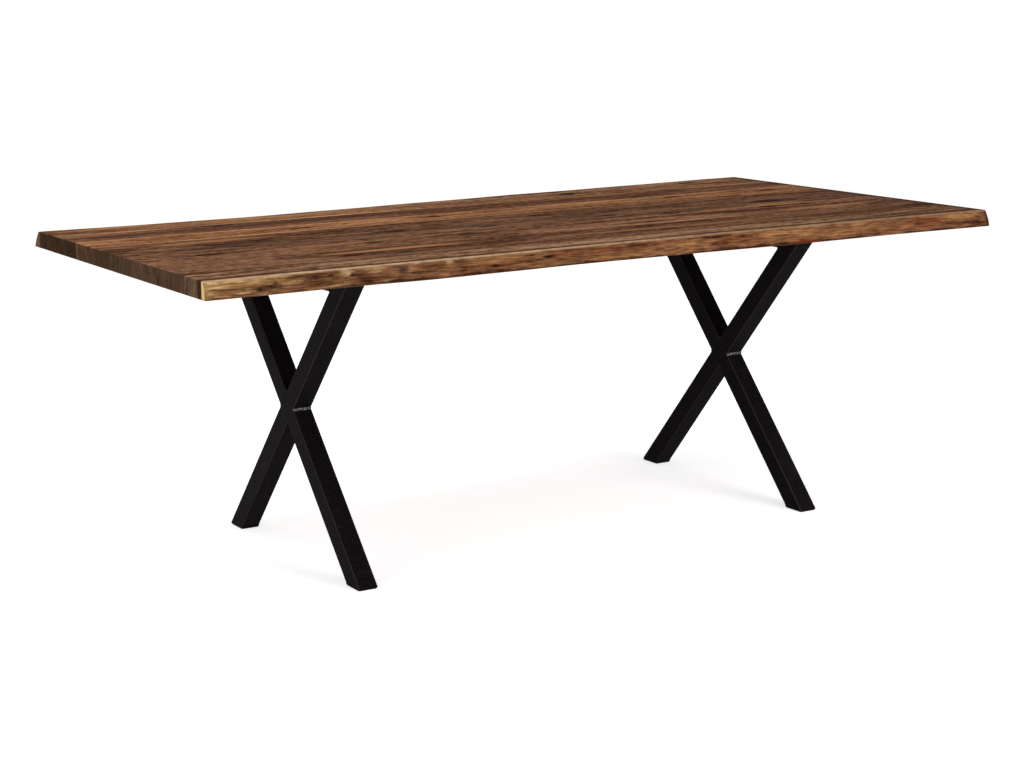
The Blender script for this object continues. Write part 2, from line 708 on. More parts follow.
@dataclass(frozen=True)
class LiveFaceTones:
    """Sapwood, bark stain and streaks of a natural edge, by the attributes of its mesh.

    The attribute live_face is one on the face and nothing on the flats, arris is one on the
    upper arris, low rises to one at the lower arris, pit is one in the middle of a hollow, and
    sap_depth is the way in from the upper arris in metres.
    """

    side: int
    seed: float
    pale: Colour = paint(196, 158, 108)
    amber: Colour = paint(154, 108, 72)
    gold: Colour = paint(126, 84, 56)
    brown: Colour = paint(70, 39, 25)
    worn: Colour = paint(194, 164, 130)
    rim: Colour = paint(244, 206, 146)
    pale_end: float = -1.0
    pale_reach: float = 0.45
    blotch: float = 2.2
    rim_most: float = 0.85
    base_up: float = 0.720
    patches: tuple[Patch, ...] = ()

    def dress(self, graph: Graph, place: Field, colour: Field, end: Field) -> tuple[Field, Field]:
        """Lay the natural edge's colours over the plank's.

        Args:
            graph: the material's graph.
            place: object coordinates.
            colour: the plank's colour so far.
            end: mask of the sawn ends.

        Returns:
            The new colour, and the relief to add in parts of the grain depth.
        """
        names = ("live_face", "arris", "sap_depth", "pit", "low")
        face, arris, depth, hollow, low = (graph.attribute(name) for name in names)
        x, _, z = graph.split(place)
        drift = x + self.seed * 3.0
        streaks = graph.noise(graph.join(drift * 7.0, z * 95.0, self.seed), detail=5.0, rough=0.62)
        blobs = graph.noise(graph.join(drift * 19.0, z * 46.0, 4.0), detail=3.0, rough=0.55)
        fine = graph.noise(graph.join(drift * 26.0, z * 290.0, 1.0), detail=4.0)
        torn = graph.noise(graph.join(drift * 120.0, z * 330.0, 7.0), detail=3.0, rough=0.65)
        toward = graph.rise(x, self.pale_end + self.pale_reach, self.pale_end, 0.0, 1.0)
        paleness = toward * 0.24 + (streaks - 0.5) * 2.2 + (blobs - 0.5) * self.blotch - low * 0.4
        skin = graph.mix(graph.rise(paleness, -0.45, 0.02), self.brown, self.gold)
        lightest = graph.mix(toward, self.amber, self.pale)
        skin = graph.mix(graph.rise(paleness, 0.06, 0.60), skin, lightest)
        skin = self.patched(graph, (x, z), (streaks, torn), skin)
        shade = graph.rise(fine, 0.30, 0.70, 0.50, 1.45)
        skin = graph.mix(1.0, skin, graph.join(shade, shade, shade), "MULTIPLY")
        ragged = hollow * graph.rise(torn, 0.3, 0.62, 0.35, 1.25)
        skin = graph.mix(graph.rise(ragged, 0.10, 0.50, 0.0, 0.6), skin, self.brown)
        skin = graph.mix(graph.rise(ragged, 0.50, 0.80, 0.0, 0.93), skin, KNOT_CORE)
        side_only = face * (1.0 - end)
        colour = graph.mix(side_only, colour, skin)
        rim = graph.rise(depth, 0.005, 0.001) * graph.rise(toward, 0.3, 0.9, 0.08, self.rim_most)
        colour = graph.mix(rim * end, colour, self.rim)
        rubbed = graph.noise(graph.join(drift * 26.0, 0.0, 2.0), detail=4.0, rough=0.7)
        rubbed = graph.rise(rubbed, 0.28, 0.6, 0.35, 1.0) * graph.rise(x, 0.7, -0.6, 0.38, 0.95)
        colour = graph.mix(arris * rubbed * (1.0 - end), colour, self.worn)
        relief = (streaks + fine - 1.0) * (side_only * 0.9)
        return colour, relief

    def patched(self, graph: Graph, place: tuple[Field, Field], rags: tuple[Field, Field],
                skin: Field) -> Field:
        """Lay the patches over the face.

        Args:
            graph: the material's graph.
            place: the place along the table and the height.
            rags: long and short noise, which tear the rims of the patches.
            skin: the face's colour so far.

        Returns:
            The new colour.
        """
        up = place[1] - self.base_up
        rag = (rags[0] - 0.5) * 1.9 + (rags[1] - 0.5) * 2.0
        for patch in self.patches:
            mask = FacePatch.place(graph, {
                "Along": place[0], "Up": up, "Rag": rag, "Centre Along": patch.x, "Centre Up": patch.up,
                "Length": patch.length, "Height": patch.height})["Mask"]
            skin = graph.mix(mask * patch.amount, skin, patch.shade)
        return skin


@dataclass(frozen=True)
class CoatFinish:
    """Plain coat over a hard piece, with fine orange peel, dust and rubbed places."""

    name: str
    colour: Colour = paint(18, 14, 15)
    dust: Colour = paint(42, 38, 40)
    roughness: float = 0.5
    metallic: float = 0.0
    gloss: float = 0.010
    grain: float = 1500.0
    relief: float = 0.00012
    rubbed: Colour = paint(78, 74, 75)
    corner_rub: float = 0.0

    @cache
    def material(self) -> bpy.types.Material:
        """Build the finish's material when it is first asked for."""
        made, graph, inputs = new_material(self.name)
        marks = PowderTexture.place(graph, {"Vector": graph.place(), "Grain": self.grain})
        colour: Feed = self.colour
        for mark, share in (("Dust", 0.35), ("Rub", 0.12), ("Speck", 0.45)):
            colour = graph.mix(marks[mark] * share, colour, self.dust)
        if self.corner_rub:
            colour = graph.mix(self.on_corners(graph, marks["Height"]), colour, self.rubbed)
        graph.feed(inputs["Base Color"], colour)
        rough = marks["Dust"] * 0.12 - marks["Rub"] * 0.08 + marks["Height"] * 0.06
        graph.feed(inputs["Roughness"], rough + self.roughness)
        inputs["Metallic"].default_value = self.metallic
        inputs["Specular IOR Level"].default_value = self.gloss
        graph.feed(inputs["Normal"], graph.bump(marks["Height"], 0.5, self.relief))
        return made

    def on_corners(self, graph: Graph, texture: Field) -> Field:
        """Share of rubbed coat: on the tubes' rounded corners, whose normal leans 20 to 70 degrees from X."""
        lean = graph.facing_ends()
        corner = graph.rise(lean, 0.34, 0.5) * graph.rise(lean, 0.94, 0.87)
        return corner * graph.rise(texture, 0.35, 0.65, 0.45, 1.0) * self.corner_rub


@dataclass(frozen=True)
class BeadFinish:
    """Weld beads under the coat, with grey bare metal on the tops of their ripples."""

    name: str = "weld_bead"
    coat: Colour = paint(22, 18, 19)
    bare: Colour = paint(176, 172, 170)
    bare_share: float = 0.75
    grain: float = 1100.0
    patches: float = 160.0
    relief: float = 0.0002

    @cache
    def material(self) -> bpy.types.Material:
        """Build the finish's material, which reads the mesh attribute crest, when first asked for."""
        made, graph, inputs = new_material(self.name)
        place = graph.place()
        marks = PowderTexture.place(graph, {"Vector": place, "Grain": self.grain})
        patch = graph.rise(graph.noise(place, scale=self.patches, detail=3.0), 0.46, 0.6)
        shown = graph.attribute("crest") * patch * self.bare_share
        graph.feed(inputs["Base Color"], graph.mix(shown, self.coat, self.bare))
        graph.feed(inputs["Metallic"], shown * 0.8)
        graph.feed(inputs["Roughness"], 0.5 - shown * 0.12)
        graph.feed(inputs["Normal"], graph.bump(marks["Height"], 0.6, self.relief))
        return made


def soft_lattice(along: np.ndarray, across: np.ndarray, seed: int) -> np.ndarray:
    """Smooth random field over two coordinates counted in cells.

    Random numbers stand on a whole-number lattice, and each value between is their blend by the
    smooth step of its place in its cell.

    Args:
        along: first coordinate in cells.
        across: second coordinate in cells, of the same shape.
        seed: seed of the random numbers.

    Returns:
        Field from 0 to 1 of the same shape.
    """
    a, b = along - along.min(), across - across.min()
    spots = np.random.default_rng(seed).random((int(a.max()) + 2, int(b.max()) + 2))
    i, j = a.astype(int), b.astype(int)
    u, v = a - i, b - j
    u, v = u * u * (3 - 2 * u), v * v * (3 - 2 * v)
    near = spots[i, j] * (1 - u) + spots[i + 1, j] * u
    far = spots[i, j + 1] * (1 - u) + spots[i + 1, j + 1] * u
    return near * (1 - v) + far * v


def smooth(values: np.ndarray, start: float, end: float) -> np.ndarray:
    """Smooth step from 0 at start to 1 at end."""
    share = np.clip((values - start) / (end - start), 0, 1)
    return share * share * (3 - 2 * share)


def add_piece(name: str, corners: np.ndarray, faces: list[list[int]], material: bpy.types.Material,
              marks: dict[str, np.ndarray] | None = None) -> bpy.types.Object:
    """Make a mesh object at the origin from whole arrays.

    Args:
        name: the object's name.
        corners: vertex places, one row each.
        faces: vertex numbers of each face, anticlockwise from outside.
        material: its material.
        marks: values per vertex by attribute name.

    Returns:
        The new object, smooth shaded, on the root body.
    """
    mesh = bpy.data.meshes.new(name)
    mesh.from_pydata(corners.tolist(), [], faces)
    for mark, values in (marks or {}).items():
        attribute = mesh.attributes.new(mark, "FLOAT", "POINT")
        attribute.data.foreach_set("value", values.astype(np.float32))
    mesh.materials.append(material)
    mesh.shade_smooth()
    mesh.update()
    piece = bpy.data.objects.new(name, mesh)
    bpy.context.scene.collection.objects.link(piece)
    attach(piece, "root")
    return piece


def block_faces(ids: np.ndarray, turned: bool) -> np.ndarray:
    """Outer faces of a block of numbered grid points.

    Args:
        ids: vertex number of each point of the block's skin, by its three indices.
        turned: true where the three directions are left-handed.

    Returns:
        Four vertex numbers per face, counted anticlockwise from outside.
    """
    ends = [ids[0], ids[-1][:, ::-1]]
    walls = [ids[:, 0, :][:, ::-1], ids[:, -1, :]]
    flats = [ids[:, :, 0], ids[:, :, -1][:, ::-1]]
    quads = [np.stack([side[:-1, :-1], side[:-1, 1:], side[1:, 1:], side[1:, :-1]], -1).reshape(-1, 4)
             for side in ends + walls + flats]
    faces = np.concatenate(quads)
    return faces[:, ::-1] if turned else faces


def merged(shapes: list[tuple[np.ndarray, list[list[int]]]]) -> tuple[np.ndarray, list[list[int]]]:
    """Join several shapes, each of vertex places and faces, into one."""
    places, faces, count = [], [], 0
    for corners, own in shapes:
        places.append(corners)
        faces += [[count + number for number in face] for face in own]
        count += len(corners)
    return np.concatenate(places), faces


@dataclass(frozen=True)
class Pit:
    """A dark hollow in a live face.

    Its numbers are the place along, the height up the face, half its length, half its height,
    how dark it is and how deep.
    """

    x: float
    up: float
    length: float
    height: float
    dark: float = 1.0
    depth: float = 0.0014


@dataclass
class LiveBoard:
    """A board with a natural edge, remade finer than its CAD solid, inside it.

    Its skin is the outside of a block of points: along the table, across from the glue line to
    the face, and up. The face's reach is the CAD edge smoothed along the table, quadratic in
    height, less the rounds of its arrises and a random relief.
    """

    plank: Plank
    tones: LiveFaceTones
    pits: tuple[Pit, ...] = ()
    step: float = 0.0028
    rows_up: int = 22
    columns_in: int = 8
    end_ease: float = 0.0025
    lower_round: float = 0.002
    upper_round: float = 0.003
    smoothing: float = 0.030
    relief: float = 0.0011
    first_in: tuple[float, ...] = (0.0, 0.0015, 0.004, 0.009)
    wide_from: float = 0.018

    CELLS = ((0.150, 0.008, 0.9), (0.048, 0.018, 0.8), (0.020, 0.0045, 0.35))
    CALM = 0.004
    END_TUCK = 0.4

    def cad_reach(self, mesh: bpy.types.Mesh, along: np.ndarray, up: np.ndarray) -> np.ndarray:
        """Read how far the CAD edge stands out.

        Args:
            mesh: the CAD node's mesh.
            along: places along the table.
            up: heights above the board's lower face.

        Returns:
            Distance from the table's middle line at every place and height.
        """
        places = np.empty(len(mesh.vertices) * 3)
        mesh.vertices.foreach_get("co", places)
        x, y, z = places.reshape(-1, 3).T
        low, high, joint = z.min(), z.max(), np.abs(y).min()
        inside = (z > low + self.lower_round - 1e-4) & (z < high - self.upper_round + 1e-4)
        levels, counts = np.unique(np.round(z[inside], 5), return_counts=True)
        levels = levels[counts > counts.max() / 3]
        reaches = []
        for level in levels:
            here = (np.abs(z - level) < 1e-5) & (np.abs(y) > joint + 1e-4)
            order = np.argsort(x[here])
            reaches.append(np.interp(along, x[here][order], np.abs(y[here][order])))
        width = max(3, int(self.smoothing / self.step) | 1)
        padded = np.pad(np.array(reaches), ((0, 0), (width // 2, width // 2)), mode="edge")
        soft = np.array([np.convolve(row, np.ones(width) / width, mode="valid") for row in padded])
        powers = np.linalg.pinv(np.vander(levels - low, 3)) @ soft
        return (np.vander(up, 3) @ powers).T

    def arcs(self, radius: float) -> tuple[np.ndarray, np.ndarray]:
        """Depth and inset of points round a quarter of a circle, from its end to its top."""
        turn = np.linspace(0, math.pi / 2, 4)
        return radius * (1 - np.cos(turn)), radius * (1 - np.sin(turn))

    def face_relief(self, along: np.ndarray, up: np.ndarray, tall: float) -> tuple[np.ndarray, np.ndarray]:
        """Random inward relief of the face and the masks of its pits.

        Long flutes, shorter swells and fine ridges are smooth random fields, each with the
        length, height and share that CELLS gives; a pit is a bell over an ellipse.

        Args:
            along: places along the table.
            up: heights above the board's lower face.
            tall: the board's thickness.

        Returns:
            Inward depth and pit mask, by place and height.
        """
        x, z = np.meshgrid(along, up, indexing="ij")
        seed = int(self.plank.seed * 10)
        depth, pitted = np.zeros_like(x), np.zeros_like(x)
        for index, (long, high, share) in enumerate(self.CELLS):
            depth += self.relief * share * soft_lattice(x / long, z / high, seed + index)
        for pit in self.pits:
            reach = ((x - pit.x) / pit.length) ** 2 + ((z - pit.up) / pit.height) ** 2
            bell = np.exp(-reach)
            depth += pit.depth * bell
            pitted = np.maximum(pitted, bell * pit.dark)
        calm = 0.25 + 0.75 * smooth(up, 0, self.CALM) * smooth(up, tall, tall - self.CALM)
        return depth * calm, pitted

    def build(self, node: bpy.types.Object) -> bpy.types.Object:
        """Make the board, with its attributes and material, in place of its CAD node."""
        low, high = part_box(self.plank.node)
        tall, side = high.z - low.z, self.tones.side
        joint = min(abs(low.y), abs(high.y))
        ease, inset = self.arcs(self.end_ease)
        first, last = low.x + self.end_ease + self.step, high.x - self.end_ease - self.step / 2
        plain = np.arange(first, last, self.step)
        along = np.concatenate([low.x + ease, plain, (high.x - ease)[::-1]])
        end_inset = np.concatenate([inset, np.zeros(len(plain)), inset[::-1]])
        rise_low, in_low = self.arcs(self.lower_round)
        rise_high, in_high = self.arcs(self.upper_round)
        between = np.linspace(self.lower_round, tall - self.upper_round, self.rows_up)[1:-1]
        up = np.concatenate([rise_low, between, (tall - rise_high)[::-1]])
        round_inset = np.concatenate([in_low, np.zeros(len(between)), in_high[::-1]])
        depth, pitted = self.face_relief(along, up, tall)
        tuck = self.END_TUCK * end_inset[:, None]
        reach = self.cad_reach(node.data, along, up) - round_inset - depth - tuck
        wide = np.linspace(self.wide_from, high.y - low.y, self.columns_in)
        inward = np.concatenate([self.first_in, wide])
        share = (1 - inward / inward[-1])[::-1]
        y = joint + share[None, :, None] * (reach[:, None, :] - joint)
        shape = y.shape
        z = np.clip(up[None, :], end_inset[:, None], tall - end_inset[:, None])
        corners = np.stack([np.broadcast_to(along[:, None, None], shape), side * y,
                            low.z + np.broadcast_to(z[:, None, :], shape)], -1)
        skin = np.zeros(shape, bool)
        for axis in range(3):
            edge = np.moveaxis(skin, axis, 0)
            edge[0], edge[-1] = True, True
        ids = np.full(shape, -1)
        ids[skin] = np.arange(skin.sum())
        outermost = np.zeros(shape)
        outermost[:, -1, :] = 1
        rows = np.broadcast_to(up[None, None, :], shape)
        on_face = outermost * smooth(rows, 0, 0.0012) * smooth(rows, tall, tall - 0.0024)
        crown = np.exp(-((tall - rows - 0.0010) / 0.0022) ** 2)
        near_arris = crown * np.clip(1 - (reach[:, None, :] - y) / 0.008, 0, 1)
        marks = {
            "live_face": on_face[skin],
            "arris": near_arris[skin],
            "sap_depth": (reach[:, -1][:, None, None] - y)[skin],
            "pit": (outermost * pitted[:, None, :])[skin],
            "low": (outermost * smooth(rows, 0.009, 0.001))[skin],
        }
        finish = WoodFinish(self.plank, low, high, self.tones)
        faces = block_faces(ids, side < 0).tolist()
        piece = add_piece(self.plank.node + "_fine", corners[skin], faces, finish.material(), marks)
        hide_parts(self.plank.node)
        return piece


class RunWay(Enum):
    """Which way a weld bead runs."""

    ALONG_TABLE = "along"
    ACROSS_TABLE = "across"


@dataclass(frozen=True)
class WeldBead:
    """A rippled bead in the corner of two faces, laid like a row of overlapping coins.

    Turns are the angles of both faces in the section, from its level axis, in degrees. Bare is
    the share of bare metal that shows on its crests and at its ends.
    """

    corner: tuple[float, float, float]
    way: RunWay
    turns: tuple[float, float]
    leg: float
    half: float
    bare: float = 0.0
    pitch: float = 0.0021
    ripple: float = 0.0004
    crown: float = 0.12
    rounds: int = 12
    spacing: float = 0.0004

    COIN_BOW = 0.7
    END_FROM = 0.86
    UNEVEN_CELL = 0.006

    def shape(self, seed: int) -> tuple[np.ndarray, list[list[int]], np.ndarray]:
        """Work out the bead.

        With u from 0 to 1 round the crown and s from -1 to 1 along the run, a place in the
        section is the chord between both toes at u, plus the bisector times the crown's
        parabola 4u(1-u) and a cosine ripple that bows back at the toes. Both ends shrink to the
        corner as a quarter of an ellipse.

        Args:
            seed: seed of the small unevenness.

        Returns:
            Vertex places, faces, and how bare the metal is from 0 to 1 at each vertex.
        """
        first, second = np.radians(self.turns)
        u = np.linspace(0, 1, self.rounds)[None, :]
        s = np.linspace(-1, 1, int(2 * self.half / self.spacing))[:, None]
        toes = self.leg * np.array([[math.cos(first), math.sin(first)], [math.cos(second), math.sin(second)]])
        out = np.array([math.cos((first + second) / 2), math.sin((first + second) / 2)])
        parabola = 4 * u * (1 - u)
        uneven = soft_lattice(s * self.half / self.UNEVEN_CELL + 0 * u, 3 * u + 0 * s, seed)
        turn = 2 * math.pi * (s * self.half / self.pitch + self.COIN_BOW * (2 * u - 1) ** 2)
        wave = (0.5 + 0.5 * np.cos(turn)) ** 0.7
        lift = parabola * self.crown * self.leg + np.sqrt(parabola) * self.ripple * (wave + uneven - 0.8)
        shrink = np.sqrt(1 - np.clip((np.abs(s) - self.END_FROM) / 0.145, 0, 1) ** 2)
        ring = toes[0] + (toes[1] - toes[0]) * u[..., None] + out * lift[..., None]
        ring = np.concatenate([ring * shrink[..., None], np.zeros((len(s), 1, 2))], axis=1)
        run = np.broadcast_to(s * self.half, ring.shape[:2])
        if self.way is RunWay.ALONG_TABLE:
            offset = np.stack([run, ring[..., 0], ring[..., 1]], -1)
        else:
            offset = np.stack([ring[..., 0], -run, ring[..., 1]], -1)
        rows, around = ring.shape[:2]
        ids = np.arange(rows * around).reshape(rows, around)
        near, far = ids, np.roll(ids, -1, axis=1)
        quads = np.stack([near[:-1], far[:-1], far[1:], near[1:]], -1).reshape(-1, 4)
        faces = quads.tolist() + [ids[0, ::-1].tolist(), ids[-1].tolist()]
        shown = np.maximum(wave * np.sqrt(parabola), smooth(np.abs(s), 0.80, 0.90) + 0 * u) * self.bare
        crest = np.concatenate([shown, np.zeros((len(s), 1))], axis=1)
        return (np.array(self.corner) + offset).reshape(-1, 3), faces, crest.ravel()


@dataclass(frozen=True)
class WeldSet:
    """All the beads that one CAD node stands for."""

    node: str
    slot: str
    beads: tuple[WeldBead, ...]

    def build(self, material: bpy.types.Material) -> bpy.types.Object:
        """Make the beads as one piece in place of their CAD node."""
        shapes = [bead.shape(index + len(self.node)) for index, bead in enumerate(self.beads)]
        places, faces = merged([shape[:2] for shape in shapes])
        crests = np.concatenate([shape[2] for shape in shapes])
        piece = add_piece(self.node + "_rippled", places, faces, material, {"crest": crests})
        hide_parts(self.node)
        return piece


@dataclass(frozen=True)
class FlushSeam:
    """A weld ground flush on a frame's side, where a half leg butts on the long leg's rounded corner.

    It fills the gap over the long leg's corner. With n from 0 to 1 over the corner radius and s
    along the long leg, its top is level with the tubes' sides and falls over the half leg's own
    rounded corners as the square root of the radius squared less the way past it squared.
    """

    middle: tuple[float, float, float]
    lean: float
    tube: float
    corner: float
    side: int
    joint: int
    sunk: float = 0.00004
    across: int = 6
    along: int = 41

    def shape(self) -> tuple[np.ndarray, list[list[int]]]:
        """Work out the seam's vertex places and faces."""
        half, turn = self.tube / 2, 2 * self.lean
        flat, shift = half / math.sin(turn), self.joint * half / math.tan(turn)
        n = np.linspace(0, 1, self.across)[:, None]
        s = np.linspace(-flat, flat, self.along)[None, :]
        past = np.clip(np.abs(s) * math.sin(turn) - (half - self.corner), 0, self.corner)
        top = half - self.corner + np.sqrt(self.corner ** 2 - past ** 2) - self.sunk + 0 * n
        arc = half - self.corner + self.corner * np.sqrt(1 - n ** 2) - 4 * self.sunk + 0 * s
        arc = np.minimum(arc, top - self.sunk)
        out = half - self.corner + self.corner * n + 0 * s
        run = s - shift + 0 * n
        sin, cos = math.sin(self.lean), math.cos(self.lean)
        skins = []
        for height in (top, arc):
            y = self.joint * out * cos + run * sin
            z = -self.joint * out * sin + run * cos
            skins.append(np.stack([self.side * height, y, z], -1))
        grid = np.stack(skins, axis=2) + np.array(self.middle)
        ids = np.arange(grid.size // 3).reshape(grid.shape[:3])
        faces = block_faces(ids, self.side * self.joint > 0).tolist()
        return grid.reshape(-1, 3), faces


def dress(piece: bpy.types.Object, material: bpy.types.Material) -> None:
    """Give a CAD node a material in every slot that it has."""
    for place in piece.material_slots:
        place.material = material


@dataclass
class XFrame:
    """One welded frame of square tube, its feet and its fixings.

    The leg's lean from upright is the angle whose cosine is tube over diagonal, less the angle
    whose tangent is height over spread, as in the CAD.
    """

    word: str
    steel: CoatFinish
    beads: BeadFinish
    glide: CoatFinish
    fastener: CoatFinish
    cross_leg: float = 0.005
    cross_end: float = 0.001
    tube_corner: float = 0.005
    rail_leg: float = 0.006
    tab_leg: float = 0.004
    weld_end: float = 0.003
    tab_thickness: float = 0.004
    tab_spacing: float = 0.350
    tab_width: float = 0.050

    def name(self, piece: str) -> str:
        """Node name of a piece of this frame."""
        return f"{self.word}_frame_{piece}"

    def measures(self) -> tuple[tuple[float, float, float], float, float, float]:
        """Middle of the crossing, tube size, lean and the rail's top, by the long leg and the rail."""
        low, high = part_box(self.name("long_leg"))
        rail_low, rail_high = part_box(self.name("top_rail"))
        tube = rail_high.x - rail_low.x
        middle = ((rail_low.x + rail_high.x) / 2, (low.y + high.y) / 2, (low.z + high.z) / 2)
        tall, spread = high.z - low.z, high.y - low.y
        lean = math.acos(tube / math.hypot(tall, spread)) - math.atan(tall / spread)
        return middle, tube, lean, rail_high.z

    def weld_sets(self) -> list[WeldSet]:
        """Work out every bead from the frame's measures."""
        (x, y, z), tube, lean, rail_top = self.measures()
        turn = math.degrees(lean)
        cross, flat = tube / (2 * math.sin(lean)), tube / (2 * math.cos(lean))
        half, wide = tube / 2 - self.weld_end, tube / 2 - self.cross_end
        along = RunWay.ALONG_TABLE
        crossing = []
        for way, more in ((1, 0), (-1, 180)):
            vee = (90 - turn + more, 90 + turn + more)
            waist = (90 + turn + more, 270 - turn + more)
            crossing.append(WeldBead((x, y, z + way * cross), along, vee, self.cross_leg, half))
            crossing.append(WeldBead((x, y - way * flat, z), along, waist, self.cross_leg, wide, 1.0))
        under = rail_top - tube
        reach = (under - z) * math.tan(lean) - flat
        rail = (WeldBead((x, y - reach, under), along, (turn - 90, 0), self.rail_leg, half),
                WeldBead((x, y + reach, under), along, (180, 270 - turn), self.rail_leg, half))
        tabs = []
        half_tab = self.tab_width / 2 - self.weld_end
        for side, turns in ((-1, (180, 270)), (1, (-90, 0))):
            for row in (-1, 1):
                along_rail = y + row * self.tab_spacing / 2
                corner = (x + side * tube / 2, along_rail, rail_top - self.tab_thickness)
                tabs.append(WeldBead(corner, RunWay.ACROSS_TABLE, turns, self.tab_leg, half_tab))
        return [WeldSet(self.name("crossing_welds"), "weld_steel", tuple(crossing)),
                WeldSet(self.name("rail_welds"), "black_steel", rail),
                WeldSet(self.name("tab_welds"), "black_steel", tuple(tabs))]

    def flush_seams(self, material: bpy.types.Material) -> bpy.types.Object:
        """Make the ground seams on both sides of the crossing as one piece."""
        middle, tube, lean, _ = self.measures()
        seams = [FlushSeam(middle, lean, tube, self.tube_corner, side, joint).shape()
                 for side in (-1, 1) for joint in (-1, 1)]
        piece = add_piece(self.name("flush_seams"), *merged(seams), material)
        return piece

    def build(self, nodes: dict[str, bpy.types.Object]) -> list[str]:
        """Dress the frame's pieces and lay its beads.

        Args:
            nodes: the CAD nodes by name.

        Returns:
            Names of the pieces that were dressed or made.
        """
        steel, glide = self.steel.material(), self.glide.material()
        fastener, bead = self.fastener.material(), self.beads.material()
        done = []
        plain = {
            steel: ("long_leg", "upper_half_leg", "lower_half_leg", "top_rail", "fixing_tabs",
                    "front_foot_plate", "rear_foot_plate"),
            glide: ("front_glide_pad", "rear_glide_pad"),
            fastener: ("screws", "washers"),
        }
        for material, pieces in plain.items():
            for piece in pieces:
                dress(nodes[self.name(piece)], material)
                done.append(self.name(piece))
        for beads in self.weld_sets():
            done.append(beads.build(bead).name)
        done.append(self.flush_seams(steel).name)
        return done


@dataclass
class TableTop:
    """The glued top: sawn staves between two boards with natural edges."""

    staves: tuple[Plank, ...]
    live_boards: tuple[LiveBoard, ...]

    def build(self, nodes: dict[str, bpy.types.Object]) -> list[str]:
        """Dress the staves and remake the live boards.

        Args:
            nodes: the CAD nodes by name.

        Returns:
            Names of the pieces that were dressed or made.
        """
        done = []
        for stave in self.staves:
            low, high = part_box(stave.node)
            dress(nodes[stave.node], WoodFinish(stave, low, high).material())
            done.append(stave.node)
        for board in self.live_boards:
            done.append(board.build(nodes[board.plank.node]).name)
        return done


@dataclass(frozen=True)
class Softbox:
    """A square lamp: its place, the place it faces, its side and its power in watts."""

    name: str
    place: tuple[float, float, float]
    target: tuple[float, float, float]
    side: float
    power: float

    def build(self) -> None:
        """Hang the lamp."""
        light = bpy.data.lights.new(self.name, "AREA")
        light.shape = "SQUARE"
        light.size = self.side
        light.energy = self.power
        lamp = bpy.data.objects.new(self.name, light)
        lamp.location = self.place
        aim = Vector(self.target) - Vector(self.place)
        lamp.rotation_euler = aim.to_track_quat("-Z", "Y").to_euler()
        bpy.context.scene.collection.objects.link(lamp)


@dataclass(frozen=True)
class Studio:
    """White floor and surroundings, soft lamps, and the camera at the photograph's place."""

    camera_place: tuple[float, float, float] = (-2.7286, -4.4986, 1.3892)
    lens: float = 74.47
    turn: float = 31.05
    dip: float = 11.26
    roll: float = -0.66
    sensor: float = 36.0
    floor_reach: float = 160.0
    floor_tone: float = 0.82
    lift: float = 0.66
    sky: float = 0.42
    lamps: tuple[Softbox, ...] = (
        Softbox("key_softbox", (1.6, -4.0, 3.3), (-0.1, 0.0, 0.5), 2.4, 71.0),
        Softbox("top_softbox", (-1.3, 0.2, 3.4), (-0.5, 0.0, 0.6), 3.0, 58.0),
        Softbox("left_softbox", (-2.6, -0.8, 1.0), (-0.6, 0.0, 0.4), 1.2, 7.0),
        Softbox("low_softbox", (1.2, -2.9, 0.7), (0.2, 0.0, 0.1), 1.2, 13.0),
    )

    def build(self) -> None:
        """Build the floor, the world, the lamps and the camera."""
        self.lay_floor()
        self.light_world()
        for lamp in self.lamps:
            lamp.build()
        self.place_camera()

    def seen_directly(self, graph: Graph) -> Field:
        """One for camera, glossy and transmission rays, nothing for light that falls on things."""
        path = graph.named(graph.put("LightPath"))
        direct = graph.larger(path["Is Camera Ray"], path["Is Glossy Ray"])
        return graph.larger(direct, path["Is Transmission Ray"])

    def lay_floor(self) -> None:
        """Lay the floor: a matt white sheet, lifted to white for the camera, that keeps shadows."""
        reach = self.floor_reach
        mesh = bpy.data.meshes.new("floor")
        square = [(-reach, -reach, 0), (reach, -reach, 0), (reach, reach, 0), (-reach, reach, 0)]
        mesh.from_pydata(square, [], [(0, 1, 2, 3)])
        made, graph, inputs = new_material("floor_sheet")
        inputs["Base Color"].default_value = (self.floor_tone,) * 3 + (1.0,)
        inputs["Roughness"].default_value = 0.9
        inputs["Specular IOR Level"].default_value = 0.0
        inputs["Emission Color"].default_value = WHITE
        graph.feed(inputs["Emission Strength"], self.seen_directly(graph) * self.lift)
        mesh.materials.append(made)
        floor = bpy.data.objects.new("floor", mesh)
        bpy.context.scene.collection.objects.link(floor)

    def light_world(self) -> None:
        """Make the surroundings white to look at, and dimmer as a light."""
        world = bpy.data.worlds.new("studio_world")
        world.use_nodes = True
        bpy.context.scene.world = world
        graph = Graph(world.node_tree)
        background = world.node_tree.nodes["Background"]
        background.inputs["Color"].default_value = WHITE
        sky = graph.rise(self.seen_directly(graph), 0.0, 1.0, self.sky, 1.0)
        graph.feed(background.inputs["Strength"], sky)

    def place_camera(self) -> None:
        """Set the camera: its way ahead from turn and dip, its level and up ways from the roll."""
        turn, dip, roll = (math.radians(angle) for angle in (self.turn, self.dip, self.roll))
        ahead = Vector((math.sin(turn) * math.cos(dip), math.cos(turn) * math.cos(dip), -math.sin(dip)))
        level = Vector((math.cos(turn), -math.sin(turn), 0.0))
        upright = level.cross(ahead)
        right = math.cos(roll) * level + math.sin(roll) * upright
        up = math.cos(roll) * upright - math.sin(roll) * level
        lens = bpy.data.cameras.new("photo_camera")
        lens.lens = self.lens
        lens.sensor_width = self.sensor
        lens.sensor_fit = "HORIZONTAL"
        camera = bpy.data.objects.new("photo_camera", lens)
        bpy.context.scene.collection.objects.link(camera)
        turned = Matrix((right, up, -ahead)).transposed().to_4x4()
        camera.matrix_world = Matrix.Translation(self.camera_place) @ turned
        bpy.context.scene.camera = camera


